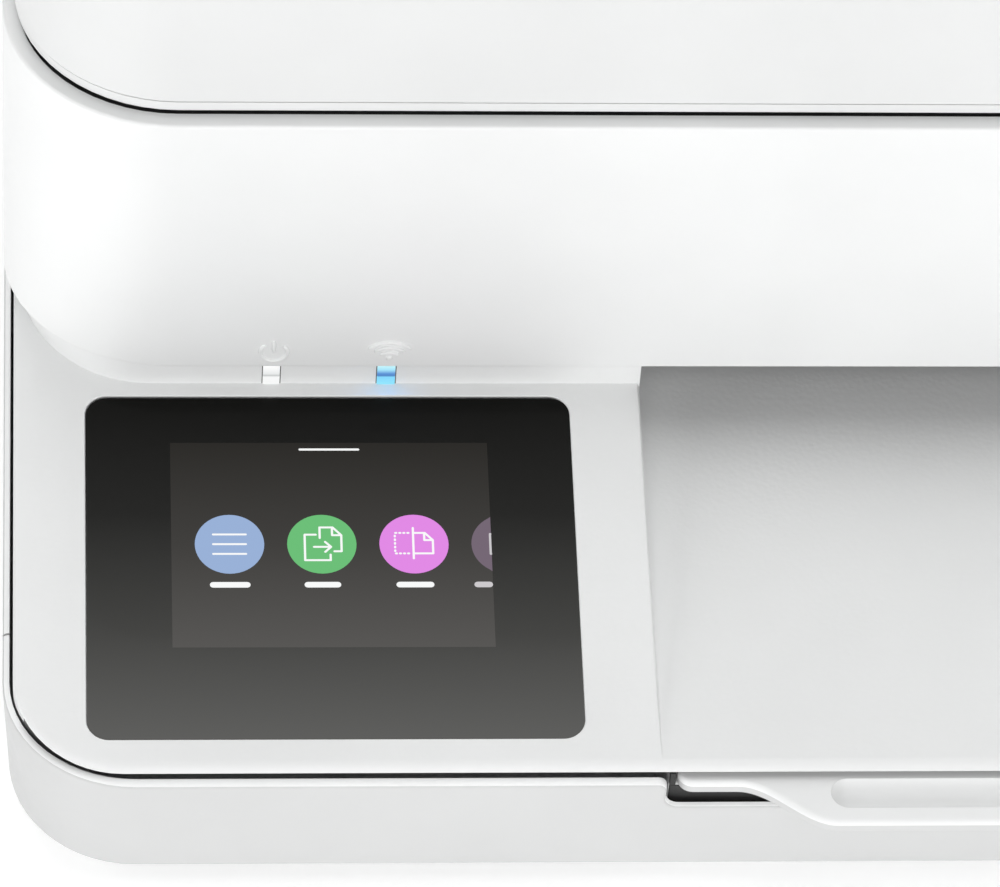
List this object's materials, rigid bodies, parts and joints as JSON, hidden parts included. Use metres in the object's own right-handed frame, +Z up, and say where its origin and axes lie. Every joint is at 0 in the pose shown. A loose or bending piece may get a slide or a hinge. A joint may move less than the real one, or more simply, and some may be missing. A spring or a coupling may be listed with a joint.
{
  "type": "inkjet all-in-one printer",
  "caption": "Home inkjet all-in-one with a flatbed scanner, document feeder, touch display, front paper tray and an output extender.",
  "frame": {"origin": "centre of the footprint, on the surface that the feet stand on", "axes": "+X to the right across the width, +Y from the front to the back, +Z up"},
  "size_m": [0.435, 0.366, 0.194],
  "materials": {
    "white_shell": "fine satin texture",
    "panel_shell": "fine grain",
    "tray_plastic": "satin",
    "display_glass": "polished",
    "lcd": "display",
    "light_pipe": "clear",
    "rubber": "matt",
    "steel": "rolled",
    "chrome_rod": "polished",
    "engine_plastic": "fine grain",
    "carriage_plastic": "fine grain",
    "gear_plastic": "moulded",
    "guide_plastic": "moulded",
    "motor_metal": "drawn",
    "circuit_board": "solder mask",
    "supply_case": "moulded",
    "socket_plastic": "moulded",
    "socket_metal": "plated",
    "ink_case": "moulded",
    "colour_ink_case": "moulded",
    "latch_plastic": "moulded",
    "scanner_tub_plastic": "moulded",
    "flatbed_glass": "polished",
    "scan_bar_plastic": "moulded",
    "lid_foam": "foam sheet",
    "roller_rubber": "ground"
  },
  "bodies": {
    "printer_base": {"base_shell": "white_shell", "rubber_feet": "rubber", "top_case": "panel_shell", "display_glass": "display_glass", "lcd_module": "lcd", "indicator_light_pipes": "light_pipe", "engine_chassis": "steel", "guide_rod": "chrome_rod", "platen": "engine_plastic", "paper_turn_guide": "engine_plastic", "pinch_frame": "engine_plastic", "exit_rail": "engine_plastic", "drive_belt": "rubber", "carriage_motor": "motor_metal", "feed_motor": "motor_metal", "main_board": "circuit_board", "power_supply": "supply_case", "service_tub": "engine_plastic", "power_inlet": "socket_plastic", "usb_port": "socket_metal", "chassis_screws": "steel"},
    "service_sled": {"service_sled": "engine_plastic"},
    "paper_tray": {"tray_fascia": "white_shell", "tray_pan": "tray_plastic"},
    "left_paper_guide": {"left_paper_guide": "guide_plastic"},
    "right_paper_guide": {"right_paper_guide": "guide_plastic"},
    "guide_pinion": {"guide_pinion": "gear_plastic"},
    "length_guide": {"length_guide": "guide_plastic"},
    "output_extender": {"output_extender": "tray_plastic"},
    "feed_roller": {"feed_roller": "roller_rubber"},
    "idler_gear": {"idler_gear": "gear_plastic"},
    "eject_roller": {"eject_roller": "roller_rubber"},
    "motor_pinion": {"motor_pinion": "gear_plastic"},
    "pinch_rollers": {"pinch_rollers": "roller_rubber"},
    "star_wheels": {"star_wheels": "steel"},
    "turn_roller": {"turn_roller": "roller_rubber"},
    "pick_arm": {"pick_arm": "engine_plastic"},
    "pick_roller": {"pick_roller": "roller_rubber"},
    "print_carriage": {"print_carriage": "carriage_plastic", "black_cartridge": "ink_case", "colour_cartridge": "colour_ink_case"},
    "black_latch": {"black_latch": "latch_plastic"},
    "colour_latch": {"colour_latch": "latch_plastic"},
    "motor_pulley": {"motor_pulley": "gear_plastic"},
    "idler_pulley": {"idler_pulley": "gear_plastic"},
    "scanner_unit": {"scanner_shell": "white_shell", "scanner_tub": "scanner_tub_plastic", "scanner_glass": "flatbed_glass", "scan_rail": "chrome_rod"},
    "scan_bar": {"scan_bar": "scan_bar_plastic"},
    "lid": {"lid_shell": "white_shell", "lid_pad": "lid_foam"},
    "feeder_cover": {"feeder_cover": "white_shell"},
    "feeder_input_tray": {"feeder_input_tray": "white_shell"},
    "feeder_front_guide": {"feeder_front_guide": "guide_plastic"},
    "feeder_rear_guide": {"feeder_rear_guide": "guide_plastic"},
    "feeder_pick_roller": {"feeder_pick_roller": "roller_rubber"},
    "feeder_drum": {"feeder_drum": "roller_rubber"},
    "power_button": {"power_button": "guide_plastic"},
    "wireless_button": {"wireless_button": "guide_plastic"}
  },
  "joints": [
    {"name": "tray_slide", "type": "slide", "parent": "printer_base", "child": "paper_tray", "axis": [0, -1, 0], "range_m": [0, 0.18]},
    {"name": "extender_slide", "type": "slide", "parent": "paper_tray", "child": "output_extender", "axis": [0, -1, 0], "range_m": [0, 0.11]},
    {"name": "left_guide_slide", "type": "slide", "parent": "paper_tray", "child": "left_paper_guide", "axis": [1, 0, 0], "range_m": [0, 0.05]},
    {"name": "right_guide_slide", "type": "slide", "parent": "paper_tray", "child": "right_paper_guide", "axis": [-1, 0, 0], "range_m": [0, 0.05]},
    {"name": "guide_pinion_spin", "type": "hinge", "parent": "paper_tray", "child": "guide_pinion", "pos_m": [0.005, -0.01, 0.007], "axis": [0, 0, 1], "range_deg": [-1, 480]},
    {"name": "length_guide_slide", "type": "slide", "parent": "paper_tray", "child": "length_guide", "axis": [0, 1, 0], "range_m": [0, 0.085]},
    {"name": "service_sled_slide", "type": "slide", "parent": "printer_base", "child": "service_sled", "axis": [0, 1, 0], "range_m": [-0.012, 0.008]},
    {"name": "feed_spin", "type": "hinge", "parent": "printer_base", "child": "feed_roller", "pos_m": [0, 0.022, 0.029], "axis": [1, 0, 0], "continuous": true},
    {"name": "idler_spin", "type": "hinge", "parent": "printer_base", "child": "idler_gear", "pos_m": [-0.185, -0.005, 0.029], "axis": [1, 0, 0], "continuous": true},
    {"name": "eject_spin", "type": "hinge", "parent": "printer_base", "child": "eject_roller", "pos_m": [0, -0.032, 0.029], "axis": [1, 0, 0], "continuous": true},
    {"name": "pinion_spin", "type": "hinge", "parent": "printer_base", "child": "motor_pinion", "pos_m": [-0.185, 0.04325, 0.0202], "axis": [1, 0, 0], "continuous": true},
    {"name": "pinch_spin", "type": "hinge", "parent": "printer_base", "child": "pinch_rollers", "pos_m": [0, 0.023, 0.0369], "axis": [1, 0, 0], "continuous": true},
    {"name": "star_spin", "type": "hinge", "parent": "printer_base", "child": "star_wheels", "pos_m": [0, -0.032, 0.0366], "axis": [1, 0, 0], "continuous": true},
    {"name": "turn_spin", "type": "hinge", "parent": "printer_base", "child": "turn_roller", "pos_m": [0, 0.12, 0.024], "axis": [1, 0, 0], "continuous": true},
    {"name": "pick_arm_hinge", "type": "hinge", "parent": "printer_base", "child": "pick_arm", "pos_m": [0, 0.046, 0.029], "axis": [1, 0, 0], "range_deg": [-3, 8]},
    {"name": "pick_spin", "type": "hinge", "parent": "pick_arm", "child": "pick_roller", "pos_m": [0, 0.078, 0.0175], "axis": [1, 0, 0], "continuous": true},
    {"name": "carriage_slide", "type": "slide", "parent": "printer_base", "child": "print_carriage", "axis": [1, 0, 0], "range_m": [-0.278, 0]},
    {"name": "black_latch_hinge", "type": "hinge", "parent": "print_carriage", "child": "black_latch", "pos_m": [0.1295, -0.0445, 0.044], "axis": [1, 0, 0], "range_deg": [0, 50]},
    {"name": "colour_latch_hinge", "type": "hinge", "parent": "print_carriage", "child": "colour_latch", "pos_m": [0.1705, -0.0445, 0.044], "axis": [1, 0, 0], "range_deg": [0, 50]},
    {"name": "motor_pulley_spin", "type": "hinge", "parent": "printer_base", "child": "motor_pulley", "pos_m": [0.186, 0.0565, 0.046], "axis": [0, 0, 1], "continuous": true},
    {"name": "idler_pulley_spin", "type": "hinge", "parent": "printer_base", "child": "idler_pulley", "pos_m": [-0.166, 0.0565, 0.046], "axis": [0, 0, 1], "continuous": true},
    {"name": "scanner_lift", "type": "hinge", "parent": "printer_base", "child": "scanner_unit", "pos_m": [0, 0.17, 0.0363], "axis": [-1, 0, 0], "range_deg": [0, 35]},
    {"name": "scan_bar_slide", "type": "slide", "parent": "scanner_unit", "child": "scan_bar", "axis": [1, 0, 0], "range_m": [0, 0.3]},
    {"name": "lid_hinge", "type": "hinge", "parent": "scanner_unit", "child": "lid", "pos_m": [0, 0.1785, 0.099], "axis": [-1, 0, 0], "range_deg": [0, 80]},
    {"name": "feeder_cover_hinge", "type": "hinge", "parent": "lid", "child": "feeder_cover", "pos_m": [-0.1934, 0, 0.1719], "axis": [0, -1, 0], "range_deg": [0, 60]},
    {"name": "input_tray_hinge", "type": "hinge", "parent": "lid", "child": "feeder_input_tray", "pos_m": [-0.062, 0, 0.15], "axis": [0, -1, 0], "range_deg": [0, 50]},
    {"name": "feeder_front_guide_slide", "type": "slide", "parent": "feeder_input_tray", "child": "feeder_front_guide", "axis": [0, 1, 0], "range_m": [0, 0.05]},
    {"name": "feeder_rear_guide_slide", "type": "slide", "parent": "feeder_input_tray", "child": "feeder_rear_guide", "axis": [0, -1, 0], "range_m": [0, 0.05]},
    {"name": "feeder_drum_spin", "type": "hinge", "parent": "lid", "child": "feeder_drum", "pos_m": [-0.14, 0, 0.148], "axis": [0, 1, 0], "continuous": true},
    {"name": "feeder_pick_spin", "type": "hinge", "parent": "lid", "child": "feeder_pick_roller", "pos_m": [-0.092, 0, 0.16], "axis": [0, 1, 0], "continuous": true},
    {"name": "power_button_press", "type": "slide", "parent": "printer_base", "child": "power_button", "axis": [0, -1, 0], "range_m": [0, 0.0012], "stiffness_N_per_m": 400},
    {"name": "wireless_button_press", "type": "slide", "parent": "printer_base", "child": "wireless_button", "axis": [0, -1, 0], "range_m": [0, 0.0012], "stiffness_N_per_m": 400}
  ],
  "couplings": [
    {"joint": "right_guide_slide", "follows": "left_guide_slide", "ratio": 1},
    {"joint": "guide_pinion_spin", "follows": "left_guide_slide", "rad_per_m": 166.67},
    {"joint": "idler_spin", "follows": "feed_spin", "ratio": -1.4545},
    {"joint": "eject_spin", "follows": "feed_spin", "ratio": 1},
    {"joint": "pinion_spin", "follows": "feed_spin", "ratio": -2.2857},
    {"joint": "pinch_spin", "follows": "feed_spin", "ratio": -2.3913},
    {"joint": "star_spin", "follows": "feed_spin", "ratio": -1.5},
    {"joint": "turn_spin", "follows": "feed_spin", "ratio": 0.5},
    {"joint": "pick_spin", "follows": "feed_spin", "ratio": 0.6875},
    {"joint": "motor_pulley_spin", "follows": "carriage_slide", "rad_per_m": 181.82},
    {"joint": "idler_pulley_spin", "follows": "carriage_slide", "rad_per_m": 181.82},
    {"joint": "feeder_rear_guide_slide", "follows": "feeder_front_guide_slide", "ratio": 1},
    {"joint": "feeder_pick_spin", "follows": "feeder_drum_spin", "ratio": -2}
  ]
}
